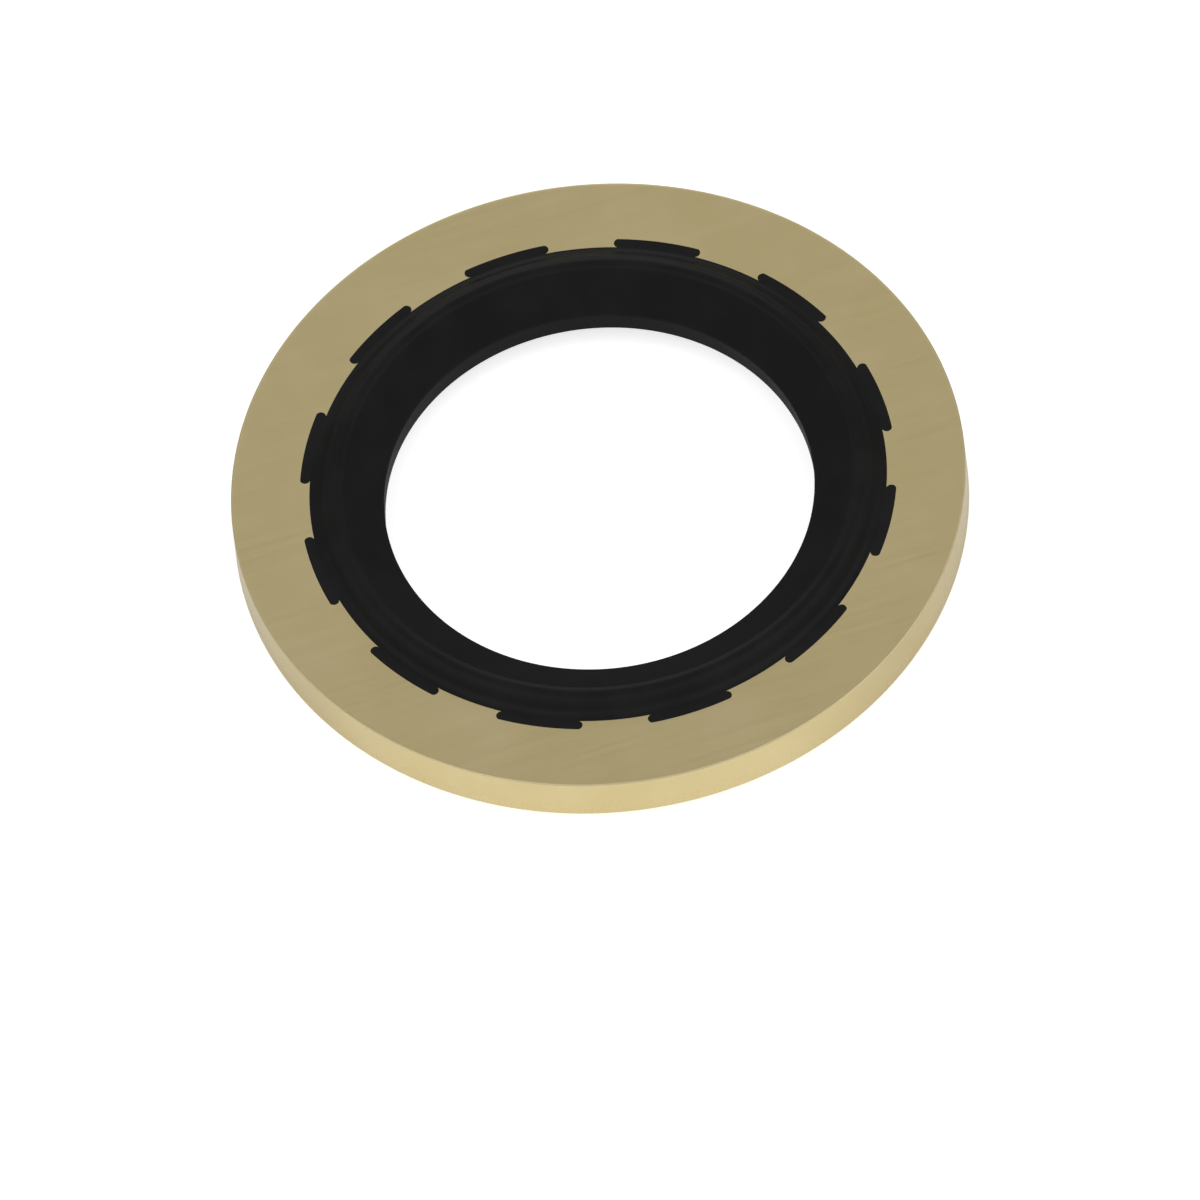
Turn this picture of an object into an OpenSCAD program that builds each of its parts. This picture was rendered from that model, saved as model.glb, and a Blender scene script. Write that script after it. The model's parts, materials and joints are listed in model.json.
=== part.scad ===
// Sealing washer: a flat ring blanked from plated sheet, with a rubber seal moulded into its inner edge.
// Millimetres. +Z runs along the hole, and the origin is on the hole's axis at half the thickness.

/* [Hole] */
// Diameter of the hole at its narrowest
bore_d = 13; // [6:0.1:40]
// Height of the straight wall in the hole
land_h = 0.6; // [0.2:0.05:1.2]

/* [Metal ring] */
// Width of the metal from the rubber to the outer edge
ring_w = 2.375; // [1:0.025:6]
// Thickness of the sheet
ring_t = 1.5; // [1:0.05:3]
// Break along the ring's two outer edges
edge_break = 0.05; // [0.02:0.01:0.3]

/* [Rubber seal] */
// Width of the rubber from the hole to the metal
seal_w = 2.225; // [1.8:0.025:4]
// Height of the beads above the ring's faces
bead_h = 0.4; // [0.2:0.05:0.7]
// Radius over a bead's crest
crest_r = 0.52; // [0.3:0.02:0.8]
// Radius at a bead's foot, where it runs out level with the ring's face
foot_r = 0.45; // [0.2:0.05:0.8]

/* [Lugs] */
// Number of lugs, and of the notches that they fill
lug_count = 12; // [4:1:18]
// Angle that one lug spans from end to end
lug_angle = 17.2; // [8:0.2:24]
// Reach of a lug into the metal
lug_reach = 0.3; // [0.2:0.02:0.6]
// Radius of a lug's round ends, centred at half its reach
lug_end_r = 0.16; // [0.1:0.01:0.3]

/* [Hidden] */
$fn = 180;

// Radii from the hole outwards; the rubber is bonded to the metal at the joint
bore_r = bore_d / 2;
joint_r = bore_r + seal_w;
ring_r = joint_r + ring_w;
face_z = ring_t / 2;

// Lines that run smoothly into each other overlap by this much, so that no sliver is left between them
blend_overlap = 0.0001;

// The foot's arc leaves the ring's face at the joint and runs smoothly into the crest's arc
foot_centre = [joint_r, face_z + foot_r];
crest_to_foot = crest_r + foot_r - blend_overlap;
crest_inset = sqrt(pow(crest_to_foot, 2) - pow(crest_r + foot_r - bead_h, 2));
crest_centre = [joint_r - crest_inset, face_z + bead_h - crest_r];

// The cone leaves the upper edge of the straight wall and runs smoothly into the crest's arc
land_edge = [bore_r, land_h / 2];
land_to_crest = crest_centre - land_edge;
cone_offset = crest_r - blend_overlap;
cone_tilt = atan2(land_to_crest[1], land_to_crest[0]) + asin(cone_offset / norm(land_to_crest));
cone_end = crest_centre + cone_offset * [-sin(cone_tilt), cos(cone_tilt)];

// Circle through the centres of the lugs' round ends, and half the angle between one lug's two centres
lug_tip_r = joint_r + lug_reach;
lug_end_path_r = joint_r + lug_reach / 2;
lug_end_turn = lug_angle / 2 - asin(lug_end_r / lug_end_path_r);

// Section of the blanked ring, with its outer edges broken
module ring_section() {
    polygon([
        [joint_r, -face_z],
        [ring_r - edge_break, -face_z],
        [ring_r, edge_break - face_z],
        [ring_r, face_z - edge_break],
        [ring_r - edge_break, face_z],
        [joint_r, face_z]
    ]);
}

// Half of the seal's section, above the washer's middle plane
module upper_seal_section() {
    difference() {
        polygon([
            [bore_r, 0],
            land_edge,
            cone_end,
            crest_centre,
            foot_centre,
            [joint_r, 0]
        ]);
        translate(foot_centre)
            circle(r = foot_r);
    }
    intersection() {
        translate(crest_centre)
            circle(r = crest_r);
        translate([bore_r, 0])
            square([seal_w, face_z + bead_h]);
    }
}

module seal_section() {
    upper_seal_section();
    mirror([0, 1])
        upper_seal_section();
}

// Wedge from the axis to past the ring, as wide as the angle between one lug's round ends
module lug_wedge() {
    polygon([
        [0, 0],
        2 * ring_r * [cos(lug_end_turn), -sin(lug_end_turn)],
        2 * ring_r * [cos(lug_end_turn), sin(lug_end_turn)]
    ]);
}

// Outline of one lug, from the joint to its tip: a curved strip with a round end on each side
module lug_outline() {
    difference() {
        intersection() {
            circle(r = lug_tip_r);
            union() {
                lug_wedge();
                for (side = [-1, 1])
                    rotate(side * lug_end_turn)
                        translate([lug_end_path_r, 0])
                            circle(r = lug_end_r);
            }
        }
        circle(r = joint_r);
    }
}

// All the lugs, or the notches for them
module lugs(height) {
    linear_extrude(height = height, center = true)
        for (i = [0 : lug_count - 1])
            rotate(i * 360 / lug_count)
                lug_outline();
}

module metal_ring() {
    color([0.66, 0.6, 0.42])
        difference() {
            rotate_extrude()
                ring_section();
            lugs(2 * ring_t);
        }
}

module rubber_seal() {
    color([0.13, 0.13, 0.13])
        union() {
            rotate_extrude()
                seal_section();
            lugs(ring_t);
        }
}

metal_ring();
rubber_seal();
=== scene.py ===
import json
import math

import bpy
from mathutils import Matrix, Vector


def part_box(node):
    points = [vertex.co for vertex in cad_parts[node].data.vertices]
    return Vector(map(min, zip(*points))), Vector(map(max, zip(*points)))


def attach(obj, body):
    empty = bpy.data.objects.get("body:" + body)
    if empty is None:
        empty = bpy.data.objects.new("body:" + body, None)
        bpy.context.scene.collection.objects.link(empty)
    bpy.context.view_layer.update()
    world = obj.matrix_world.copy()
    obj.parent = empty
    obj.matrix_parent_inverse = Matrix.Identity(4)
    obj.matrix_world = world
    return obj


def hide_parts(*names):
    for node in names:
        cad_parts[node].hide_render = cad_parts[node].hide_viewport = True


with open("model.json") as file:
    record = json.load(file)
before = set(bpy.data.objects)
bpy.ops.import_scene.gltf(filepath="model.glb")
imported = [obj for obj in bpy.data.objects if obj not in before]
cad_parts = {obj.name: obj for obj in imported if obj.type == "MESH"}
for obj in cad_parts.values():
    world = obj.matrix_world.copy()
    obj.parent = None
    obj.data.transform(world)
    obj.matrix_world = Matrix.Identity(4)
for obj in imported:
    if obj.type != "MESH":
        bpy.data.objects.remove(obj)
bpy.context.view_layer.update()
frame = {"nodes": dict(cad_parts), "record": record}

# Metal ring
# A flat ring blanked from steel sheet, then zinc plated and passivated to a dull yellow gold. Its inner
# edge is punched with round-ended notches for the rubber, and its outer edges are broken by tumbling.
ring_vertices = frame["nodes"]["metal_ring"].data.vertices
seal_vertices = frame["nodes"]["rubber_seal"].data.vertices
ring_r = max(vertex.co.xy.length for vertex in ring_vertices)
joint_r = min(vertex.co.xy.length for vertex in ring_vertices)
lug_tip_r = max(vertex.co.xy.length for vertex in seal_vertices)
face_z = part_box("metal_ring")[1].z
edge_break = 0.00005
mm_per_m = 1000

lug_count = 12
lug_angle = math.radians(17.2)
lug_end_r = 0.00016
lug_root_depth = 0.00015
lug_mid_r = (joint_r + lug_tip_r) / 2
lug_turn = lug_angle / 2 - math.asin(lug_end_r / lug_mid_r)
notch_height = 4 * face_z

turn_steps = 360
edge_steps = 6
tip_steps = 24
end_steps = 16
root_steps = 8
weld_gap = 0.000001
sharp_angle = math.radians(30)

plate_gold = (0.718, 0.594, 0.305)
plate_pale = (0.755, 0.632, 0.345)
plate_worn = (0.735, 0.635, 0.37)
face_roughness = 0.36
wall_roughness = 0.2
mark_roughness = 0.04
fracture_roughness = 0.06
wear_roughness = 0.15
plate_relief = 0.000002
plate_relief_share = 0.25

plate_grain_mm = 0.05
plate_patch_mm = 2.5
wall_inside_rim_mm = (0.03, 0.005)
wear_width_mm = 0.09
wear_fade_mm = (1.5 * wear_width_mm, 0.5 * wear_width_mm)
fracture_top_mm = -0.2
fracture_blur_mm = 0.3
rolled_per_m = (300, 14000, 14000)
sheared_per_m = (16000, 16000, 900)
grain_detail = 2
patch_detail = 4
streak_detail = 3
patch_range = (0.3, 0.7)
mark_range = (0.2, 0.8)


def arc(centre, radius, start, end, steps):
    """Points along a circular arc from one angle to another, with both ends."""
    turns = [start + (end - start) * i / steps for i in range(steps + 1)]
    return [(centre[0] + radius * math.cos(t), centre[1] + radius * math.sin(t)) for t in turns]


def outline_mesh(name, points, filled):
    """A closed flat outline as a mesh: its edges alone, or one face."""
    corners = list(range(len(points)))
    edges = [] if filled else list(zip(corners, corners[1:] + corners[:1]))
    mesh = bpy.data.meshes.new(name)
    mesh.from_pydata([(x, y, 0) for x, y in points], edges, [corners] if filled else [])
    return mesh


def add_object(name, data):
    """An object in the scene, at the origin."""
    made = bpy.data.objects.new(name, data)
    bpy.context.scene.collection.objects.link(made)
    return made


def ring_section():
    """Section of the blanked ring, with round outer edges and a point beside each round."""
    corner_r = ring_r - edge_break
    corner_z = face_z - edge_break
    beside = edge_break
    return [
        (joint_r, -face_z),
        (corner_r - beside, -face_z),
        *arc((corner_r, -corner_z), edge_break, -math.pi / 2, 0, edge_steps),
        (ring_r, beside - corner_z),
        (ring_r, corner_z - beside),
        *arc((corner_r, corner_z), edge_break, 0, math.pi / 2, edge_steps),
        (corner_r - beside, face_z),
        (joint_r, face_z),
    ]


def lug_outline():
    """Outline of one lug, with its root inside the joint: the tip's arc, two round ends, the root's arc."""
    reach_cos = (lug_tip_r**2 - lug_mid_r**2 - lug_end_r**2) / (2 * lug_mid_r * lug_end_r)
    reach = math.acos(reach_cos)
    tip_turn = lug_turn + math.atan2(lug_end_r * math.sin(reach), lug_mid_r + lug_end_r * reach_cos)
    far_end = (lug_mid_r * math.cos(lug_turn), lug_mid_r * math.sin(lug_turn))
    near_end = (far_end[0], -far_end[1])
    return [
        *arc((0, 0), lug_tip_r, -tip_turn, tip_turn, tip_steps)[:-1],
        *arc(far_end, lug_end_r, lug_turn + reach, lug_turn + math.pi, end_steps),
        *arc((0, 0), joint_r - lug_root_depth, lug_turn, -lug_turn, root_steps),
        *arc(near_end, lug_end_r, math.pi - lug_turn, 2 * math.pi - lug_turn - reach, end_steps)[:-1],
    ]


def join(tree, source, socket):
    """Links a socket, or a node's first output, to an input, or sets the input to a plain value."""
    if isinstance(source, bpy.types.Node):
        source = source.outputs[0]
    if isinstance(source, bpy.types.NodeSocket):
        tree.links.new(source, socket)
    else:
        socket.default_value = source


def add_node(tree, kind, settings=None, **sources):
    """A node of a tree, with its settings, and each named input linked or set."""
    made = tree.nodes.new(kind)
    for key, value in (settings or {}).items():
        setattr(made, key, value)
    for name, source in sources.items():
        join(tree, source, made.inputs[name.replace("_", " ")])
    return made


def maths(tree, operation, first, second=0.0):
    """The result of a sum on two values or sockets."""
    made = tree.nodes.new("ShaderNodeMath")
    made.operation = operation
    join(tree, first, made.inputs[0])
    join(tree, second, made.inputs[1])
    return made.outputs[0]


def keyed_ring_tree(name, operation):
    """Turns a section round the axis, then cuts a ring of key shapes out of it or joins them to it."""
    tree = bpy.data.node_groups.new(name, "GeometryNodeTree")
    for label, kind in (
        ("Section", "NodeSocketGeometry"),
        ("Turn Steps", "NodeSocketInt"),
        ("Turn Radius", "NodeSocketFloat"),
        ("Key", "NodeSocketObject"),
        ("Key Count", "NodeSocketInt"),
        ("Key Height", "NodeSocketFloat"),
        ("Material", "NodeSocketMaterial"),
    ):
        tree.interface.new_socket(label, in_out="INPUT", socket_type=kind)
    tree.interface.new_socket("Ring", in_out="OUTPUT", socket_type="NodeSocketGeometry")
    given = tree.nodes.new("NodeGroupInput").outputs

    path = add_node(
        tree,
        "GeometryNodeCurvePrimitiveCircle",
        Resolution=given["Turn Steps"],
        Radius=given["Turn Radius"],
    )
    section = add_node(tree, "GeometryNodeMeshToCurve", Mesh=given["Section"])
    turned = add_node(tree, "GeometryNodeCurveToMesh", Curve=path, Profile_Curve=section)

    key = add_node(tree, "GeometryNodeObjectInfo", Object=given["Key"]).outputs["Geometry"]
    drop = add_node(tree, "ShaderNodeCombineXYZ", Z=maths(tree, "DIVIDE", given["Key Height"], -2.0))
    low = add_node(tree, "GeometryNodeTransform", Geometry=key, Translation=drop)
    rise = add_node(tree, "ShaderNodeCombineXYZ", Z=given["Key Height"])
    raised = add_node(tree, "GeometryNodeExtrudeMesh", Mesh=low, Offset=rise)
    base = add_node(tree, "GeometryNodeFlipFaces", Mesh=low)
    loose = tree.nodes.new("GeometryNodeJoinGeometry")
    join(tree, base, loose.inputs[0])
    join(tree, raised, loose.inputs[0])
    prism = add_node(tree, "GeometryNodeMergeByDistance", Geometry=loose, Distance=weld_gap)

    places = add_node(tree, "GeometryNodePoints", Count=given["Key Count"])
    index = tree.nodes.new("GeometryNodeInputIndex")
    turn = maths(tree, "MULTIPLY", index, maths(tree, "DIVIDE", math.tau, given["Key Count"]))
    about_axis = add_node(tree, "ShaderNodeCombineXYZ", Z=turn)
    keys = add_node(
        tree,
        "GeometryNodeInstanceOnPoints",
        Points=places,
        Instance=prism,
        Rotation=about_axis,
    )

    keyed = add_node(tree, "GeometryNodeMeshBoolean", {"operation": operation, "solver": "EXACT"})
    join(tree, turned, keyed.inputs["Mesh 1" if operation == "DIFFERENCE" else "Mesh 2"])
    join(tree, keys, keyed.inputs["Mesh 2"])
    welded = add_node(tree, "GeometryNodeMergeByDistance", Geometry=keyed, Distance=weld_gap)
    whole = add_node(tree, "GeometryNodeRealizeInstances", Geometry=welded)
    finished = add_node(tree, "GeometryNodeSetMaterial", Geometry=whole, Material=given["Material"])
    join(tree, finished, tree.nodes.new("NodeGroupOutput").inputs[0])
    return tree


def keyed_ring(name, section, operation, key, key_height, material):
    """A ring of one section with keys cut out or joined on: a smooth mesh that keeps its sharp corners."""
    path_r = min(r for r, z in section)
    ring = add_object(name, outline_mesh(name, [(r - path_r, z) for r, z in section], False))
    tree = keyed_ring_tree(name, operation)
    values = {
        "Turn Steps": turn_steps,
        "Turn Radius": path_r,
        "Key": key,
        "Key Count": lug_count,
        "Key Height": key_height,
        "Material": material,
    }
    making = ring.modifiers.new(name, "NODES")
    making.node_group = tree
    for item in tree.interface.items_tree:
        if item.in_out == "INPUT" and item.name in values:
            making[item.identifier] = values[item.name]
    evaluated = ring.evaluated_get(bpy.context.evaluated_depsgraph_get())
    mesh = bpy.data.meshes.new_from_object(evaluated)
    mesh.materials.clear()
    mesh.materials.append(material)
    ring.modifiers.remove(making)
    ring.data = mesh
    mesh.shade_smooth()
    mesh.set_sharp_from_angle(angle=sharp_angle)
    return ring


def fade(tree, value, start, end, low=0.0, high=1.0):
    """A value carried smoothly from low to high while its source goes from start to end."""
    made = add_node(tree, "ShaderNodeMapRange", {"interpolation_type": "SMOOTHSTEP"}, Value=value)
    for label, number in (("From Min", start), ("From Max", end), ("To Min", low), ("To Max", high)):
        join(tree, number, made.inputs[label])
    return made.outputs[0]


def blend(tree, share, first, second):
    """A colour between two others. The node's sockets share their names, so they are taken by place."""
    made = add_node(tree, "ShaderNodeMix", {"data_type": "RGBA"})
    join(tree, share, made.inputs[0])
    for colour, socket in ((first, made.inputs[6]), (second, made.inputs[7])):
        join(tree, colour if isinstance(colour, bpy.types.NodeSocket) else (*colour, 1), socket)
    return made.outputs[2]


def vector_maths(tree, operation, *sources):
    """The outputs of a sum on one or two vectors."""
    made = tree.nodes.new("ShaderNodeVectorMath")
    made.operation = operation
    for source, socket in zip(sources, made.inputs):
        join(tree, source, socket)
    return made.outputs


def object_place(tree):
    """A point's place in the washer's own frame, in metres."""
    return tree.nodes.new("ShaderNodeTexCoord").outputs["Object"]


def surface_group():
    """Fine grain and broad patches, from 0 to 1, and the distance from the axis. Sizes are millimetres."""
    group = bpy.data.node_groups.new("surface_grain", "ShaderNodeTree")
    for label in ("Grain Size", "Patch Size"):
        group.interface.new_socket(label, in_out="INPUT", socket_type="NodeSocketFloat")
    for label in ("Grain", "Patches", "Radius"):
        group.interface.new_socket(label, in_out="OUTPUT", socket_type="NodeSocketFloat")
    given = group.nodes.new("NodeGroupInput").outputs
    result = group.nodes.new("NodeGroupOutput").inputs
    to_mm = (mm_per_m, mm_per_m, mm_per_m)
    place_mm = vector_maths(group, "MULTIPLY", object_place(group), to_mm)["Vector"]
    for label, size, detail in (
        ("Grain", "Grain Size", grain_detail),
        ("Patches", "Patch Size", patch_detail),
    ):
        per_mm = maths(group, "DIVIDE", 1.0, given[size])
        noise = add_node(group, "ShaderNodeTexNoise", Vector=place_mm, Scale=per_mm, Detail=detail)
        join(group, noise.outputs["Fac"], result[label])
    flat_mm = vector_maths(group, "MULTIPLY", place_mm, (1, 1, 0))["Vector"]
    join(group, vector_maths(group, "LENGTH", flat_mm)["Value"], result["Radius"])
    return group


surface_grain = surface_group()


def surface_values(tree, grain_mm, patch_mm):
    """The surface group's outputs in one material, with that material's own sizes."""
    made = add_node(
        tree,
        "ShaderNodeGroup",
        {"node_tree": surface_grain},
        Grain_Size=grain_mm,
        Patch_Size=patch_mm,
    )
    return made.outputs


def streaks(tree, steps_per_m):
    """Noise drawn out along an axis, from 0 to 1, with its steps per metre along each axis."""
    drawn = add_node(tree, "ShaderNodeMapping", Vector=object_place(tree), Scale=steps_per_m)
    return add_node(tree, "ShaderNodeTexNoise", Vector=drawn, Scale=1, Detail=streak_detail).outputs["Fac"]


def new_material(name):
    """A material with one plain shader, its node tree and the shader's inputs."""
    made = bpy.data.materials.new(name)
    made.use_nodes = True
    return made, made.node_tree, made.node_tree.nodes["Principled BSDF"].inputs


def plated_metal():
    """Satin yellow plating: paler patches, worn edges, faint rolling lines and a blanked outer wall."""
    made, tree, shader = new_material("yellow_zinc_plate")
    shader["Metallic"].default_value = 1
    surface = surface_values(tree, plate_grain_mm, plate_patch_mm)
    height = add_node(tree, "ShaderNodeSeparateXYZ", Vector=object_place(tree)).outputs["Z"]
    height_mm = maths(tree, "MULTIPLY", height, mm_per_m)
    below_face = maths(tree, "SUBTRACT", mm_per_m * face_z, maths(tree, "ABSOLUTE", height_mm))
    inside_rim = maths(tree, "SUBTRACT", mm_per_m * ring_r, surface["Radius"])
    wall = fade(tree, inside_rim, *wall_inside_rim_mm)

    ragged = maths(tree, "MULTIPLY", surface["Patches"], wear_width_mm)
    from_edge = maths(tree, "ADD", maths(tree, "MAXIMUM", below_face, inside_rim), ragged)
    wear = fade(tree, from_edge, *wear_fade_mm)
    colour = blend(tree, fade(tree, surface["Patches"], *patch_range), plate_gold, plate_pale)
    join(tree, blend(tree, wear, colour, plate_worn), shader["Base Color"])

    rolled = streaks(tree, rolled_per_m)
    sheared = streaks(tree, sheared_per_m)
    to_sheared = maths(tree, "MULTIPLY", wall, maths(tree, "SUBTRACT", sheared, rolled))
    marks = maths(tree, "ADD", rolled, to_sheared)
    ragged_height = maths(tree, "ADD", height_mm, maths(tree, "MULTIPLY", sheared, fracture_blur_mm))
    broken = fade(tree, ragged_height, fracture_top_mm + fracture_blur_mm, fracture_top_mm)
    fracture = maths(tree, "MULTIPLY", wall, broken)
    roughness = fade(tree, wall, 0.0, 1.0, face_roughness, wall_roughness)
    uneven = fade(tree, marks, *mark_range, -mark_roughness, mark_roughness)
    roughness = maths(tree, "ADD", roughness, uneven)
    for mask, added in ((fracture, fracture_roughness), (wear, wear_roughness)):
        roughness = maths(tree, "ADD", roughness, maths(tree, "MULTIPLY", mask, added))
    join(tree, roughness, shader["Roughness"])
    bump = add_node(
        tree,
        "ShaderNodeBump",
        Height=maths(tree, "ADD", marks, surface["Grain"]),
        Strength=plate_relief_share,
        Distance=plate_relief,
    )
    join(tree, bump, shader["Normal"])
    return made


lug_key = add_object("lug_key", outline_mesh("lug_key", lug_outline(), True))
plated_ring = keyed_ring("plated_ring", ring_section(), "DIFFERENCE", lug_key, notch_height, plated_metal())
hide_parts("metal_ring")
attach(plated_ring, "root")

# Rubber seal
# One black rubber moulding, cast and bonded into the ring's inner edge. Each face has a rounded bead that
# falls in a straight cone to a short straight wall in the hole, and lugs on its rim fill the notches.
bore_size = next(mount for mount in frame["record"]["mounts"] if mount["name"] == "bore")["dims"]
bore_r = bore_size["r_mm"] / mm_per_m
land_h = bore_size["length_mm"] / mm_per_m
bead_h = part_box("rubber_seal")[1].z - face_z
crest_r = 0.00052
foot_r = 0.00045
lug_height = 2 * face_z
foot_steps = 18
flank_steps = 20
shoulder_steps = 12

rubber_black = (0.0120, 0.0120, 0.0120)
rubber_bloom = (0.0155, 0.0155, 0.0155)
rubber_specular = 0.08
land_roughness = 0.48
finishes = {
    "cone": {"inside_joint_mm": (2.205, 2.155), "roughness": 0.85},
    "crest": {"inside_joint_mm": (1.055, 0.935), "roughness": 0.27},
    "flank": {"inside_joint_mm": (0.645, 0.425), "roughness": 0.6},
    "foot": {"inside_joint_mm": (0.305, 0.225), "roughness": 0.28},
    "lugs": {"inside_joint_mm": (0.015, -0.015), "roughness": 0.6},
}
bloom_roughness = 0.03
rubber_relief = 0.000005
rubber_relief_share = 0.5
rubber_grain_mm = 0.06
rubber_patch_mm = 1.5
uneven_range = (0.5, 1.5)


def seal_section():
    """Section of the seal: the foot, crest and cone of each face, with the straight wall between."""
    foot_centre = Vector((joint_r, face_z + foot_r))
    crest_rise = crest_r + foot_r - bead_h
    crest_inset = math.sqrt((crest_r + foot_r) ** 2 - crest_rise**2)
    crest_centre = Vector((joint_r - crest_inset, face_z + bead_h - crest_r))
    land_edge = Vector((bore_r, land_h / 2))
    to_crest = crest_centre - land_edge
    cone_tilt = math.atan2(to_crest.y, to_crest.x) + math.asin(crest_r / to_crest.length)
    flank_turn = math.atan2(crest_rise, crest_inset)
    upper = [
        *arc(foot_centre, foot_r, -math.pi / 2, flank_turn - math.pi, foot_steps),
        *arc(crest_centre, crest_r, flank_turn, math.pi / 2, flank_steps)[1:],
        *arc(crest_centre, crest_r, math.pi / 2, cone_tilt + math.pi / 2, shoulder_steps)[1:],
        land_edge,
    ]
    lower = [(r, -z) for r, z in reversed(upper)]
    return lower + [tuple(point) for point in upper]


def moulded_rubber():
    """Black moulded rubber: satin where the bead's groove in the mould was polished, matt on the cone."""
    made, tree, shader = new_material("moulded_black_rubber")
    shader["Specular IOR Level"].default_value = rubber_specular
    surface = surface_values(tree, rubber_grain_mm, rubber_patch_mm)
    bloom = fade(tree, surface["Patches"], *patch_range)
    join(tree, blend(tree, bloom, rubber_black, rubber_bloom), shader["Base Color"])

    inside_joint = maths(tree, "SUBTRACT", mm_per_m * joint_r, surface["Radius"])
    roughness = land_roughness
    for finish in finishes.values():
        roughness = fade(tree, inside_joint, *finish["inside_joint_mm"], roughness, finish["roughness"])
    grain_and_bloom = maths(tree, "ADD", surface["Grain"], bloom)
    uneven = fade(tree, grain_and_bloom, *uneven_range, -bloom_roughness, bloom_roughness)
    join(tree, maths(tree, "ADD", roughness, uneven), shader["Roughness"])
    bump = add_node(
        tree,
        "ShaderNodeBump",
        Height=surface["Grain"],
        Strength=rubber_relief_share,
        Distance=rubber_relief,
    )
    join(tree, bump, shader["Normal"])
    return made


moulded_seal = keyed_ring("moulded_seal", seal_section(), "UNION", lug_key, lug_height, moulded_rubber())
bpy.data.objects.remove(lug_key)
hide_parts("rubber_seal")
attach(moulded_seal, "root")

# Floor
# A plain white floor that the washer lies on, resting on its lower bead. It shows white to the camera and
# still takes the washer's soft shadow. Reflections see a painted pool of light on it, brightest in front of
# the washer, so the metal's wall shows a painted reflection that is brighter in front than at the sides.
floor_r = 0.6
floor_steps = 96
floor_white = 0.85
floor_glow_seen = 0.68
# Glow of a painted pool of light that only reflections see: full in front of the washer, lower behind it.
painted_pool_front_glow = 0.33
painted_pool_back_glow = 0.17
painted_pool_side = math.radians(-110)
painted_pool_start = 0.55 * ring_r
painted_pool_end = 0.95 * ring_r


def studio_floor():
    """White floor paint, with a glow that only the camera and reflections see. For reflections the glow is
    a painted pool of light, brighter in front of the washer.
    """
    made, tree, shader = new_material("white_floor")
    shader["Base Color"].default_value = (floor_white, floor_white, floor_white, 1)
    shader["Roughness"].default_value = 1
    shader["Specular IOR Level"].default_value = 0
    shader["Emission Color"].default_value = (1, 1, 1, 1)
    to_front = (math.cos(painted_pool_side), math.sin(painted_pool_side), 0)
    forward = vector_maths(tree, "DOT_PRODUCT", object_place(tree), to_front)["Value"]
    # Painted pool of light: reflections see the floor brighter in front of the washer than behind it.
    painted_light_pool = fade(tree, forward, painted_pool_start, painted_pool_end, painted_pool_back_glow, painted_pool_front_glow)
    path = tree.nodes.new("ShaderNodeLightPath").outputs
    reflected = maths(tree, "MAXIMUM", path["Is Glossy Ray"], path["Is Transmission Ray"])
    seen_part = maths(tree, "MULTIPLY", path["Is Camera Ray"], floor_glow_seen)
    mirrored_part = maths(tree, "MULTIPLY", reflected, painted_light_pool)
    join(tree, maths(tree, "MAXIMUM", seen_part, mirrored_part), shader["Emission Strength"])
    return made


floor_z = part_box("rubber_seal")[0].z
floor_mesh = outline_mesh("floor", arc((0, 0), floor_r, 0, math.tau, floor_steps)[:-1], True)
floor_mesh.transform(Matrix.Translation((0, 0, floor_z)))
floor_mesh.materials.append(studio_floor())
floor = add_object("floor", floor_mesh)

# Light
# A pale room, brighter on the camera's side and dimmer along the horizon. A wide soft panel hangs on either
# side, and a weaker one stands behind.
sky_front = 0.58
sky_back = 0.36
sky_horizon = 0.55
sky_depth_range = (-0.5, 0.5)
sky_height_range = (0.0, 0.5)
panels = {
    "left_panel": {"side": -172, "height": 50, "size": 1.2, "power": 2.1},
    "right_panel": {"side": -32, "height": 50, "size": 1.2, "power": 2.1},
    "back_panel": {"side": 78, "height": 29, "size": 0.6, "power": 0.85},
}
panel_distance = 1.0

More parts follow.
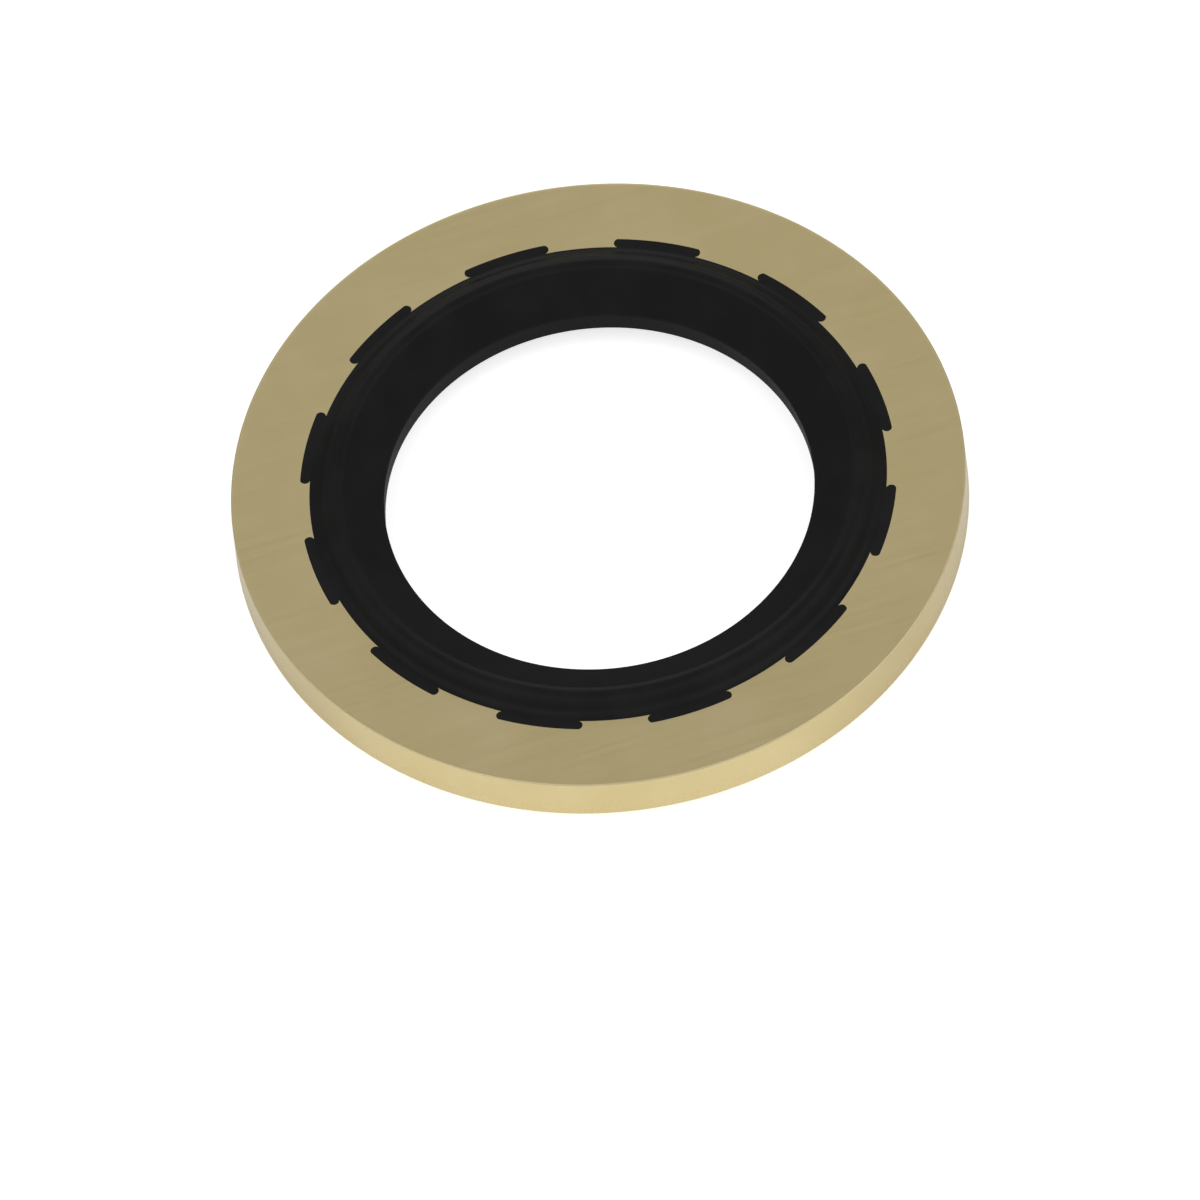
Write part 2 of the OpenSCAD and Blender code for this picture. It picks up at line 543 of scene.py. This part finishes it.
world = bpy.data.worlds.new("studio")
bpy.context.scene.world = world
world.use_nodes = True
sky = world.node_tree
background = sky.nodes["Background"].inputs
background["Color"].default_value = (1, 1, 1, 1)
direction = sky.nodes.new("ShaderNodeTexCoord").outputs["Generated"]
along = add_node(sky, "ShaderNodeSeparateXYZ", Vector=direction).outputs
depth_level = fade(sky, along["Y"], *sky_depth_range, sky_front, sky_back)
height_level = fade(sky, along["Z"], *sky_height_range, sky_horizon, 1.0)
room_level = maths(sky, "MULTIPLY", depth_level, height_level)
seen = sky.nodes.new("ShaderNodeLightPath").outputs["Is Camera Ray"]
join(sky, maths(sky, "MAXIMUM", room_level, seen), background["Strength"])

for name, panel in panels.items():
    side = math.radians(panel["side"])
    height = math.radians(panel["height"])
    outwards = math.cos(height)
    towards = Vector((math.cos(side) * outwards, math.sin(side) * outwards, math.sin(height)))
    lamp = bpy.data.lights.new(name, "AREA")
    lamp.shape = "DISK"
    lamp.size = panel["size"]
    lamp.energy = panel["power"]
    holder = add_object(name, lamp)
    aim = towards.to_track_quat("Z", "Y").to_matrix().to_4x4()
    holder.matrix_world = Matrix.Translation(panel_distance * towards) @ aim

# Camera
# A flat, parallel view from above and in front, tipped a little, as the photograph has it.
view_width = 0.03615
view_height_angle = math.radians(54.591)
view_side_angle = math.radians(-12.4)
view_tip_angle = math.radians(7.2846)
centre_right = -0.0000547
centre_up = 0.0034896
camera_distance = 0.3
nearest_seen = 0.001
farthest_seen = 5

towards_camera = Vector((
    math.sin(view_side_angle) * math.cos(view_height_angle),
    -math.cos(view_side_angle) * math.cos(view_height_angle),
    math.sin(view_height_angle),
))
level_right = Vector((math.cos(view_side_angle), math.sin(view_side_angle), 0))
level_up = towards_camera.cross(level_right)
picture_right = math.cos(view_tip_angle) * level_right - math.sin(view_tip_angle) * level_up
picture_up = math.sin(view_tip_angle) * level_right + math.cos(view_tip_angle) * level_up
camera_place = (
    Vector((0, 0, face_z))
    - centre_right * picture_right
    - centre_up * picture_up
    + camera_distance * towards_camera
)
camera_data = bpy.data.cameras.new("camera")
camera_data.type = "ORTHO"
camera_data.ortho_scale = view_width
camera_data.clip_start = nearest_seen
camera_data.clip_end = farthest_seen
camera = add_object("camera", camera_data)
axes = Matrix((picture_right, picture_up, towards_camera)).transposed()
camera.matrix_world = Matrix.Translation(camera_place) @ axes.to_4x4()
bpy.context.scene.camera = camera
bpy.context.scene.view_settings.view_transform = "Standard"
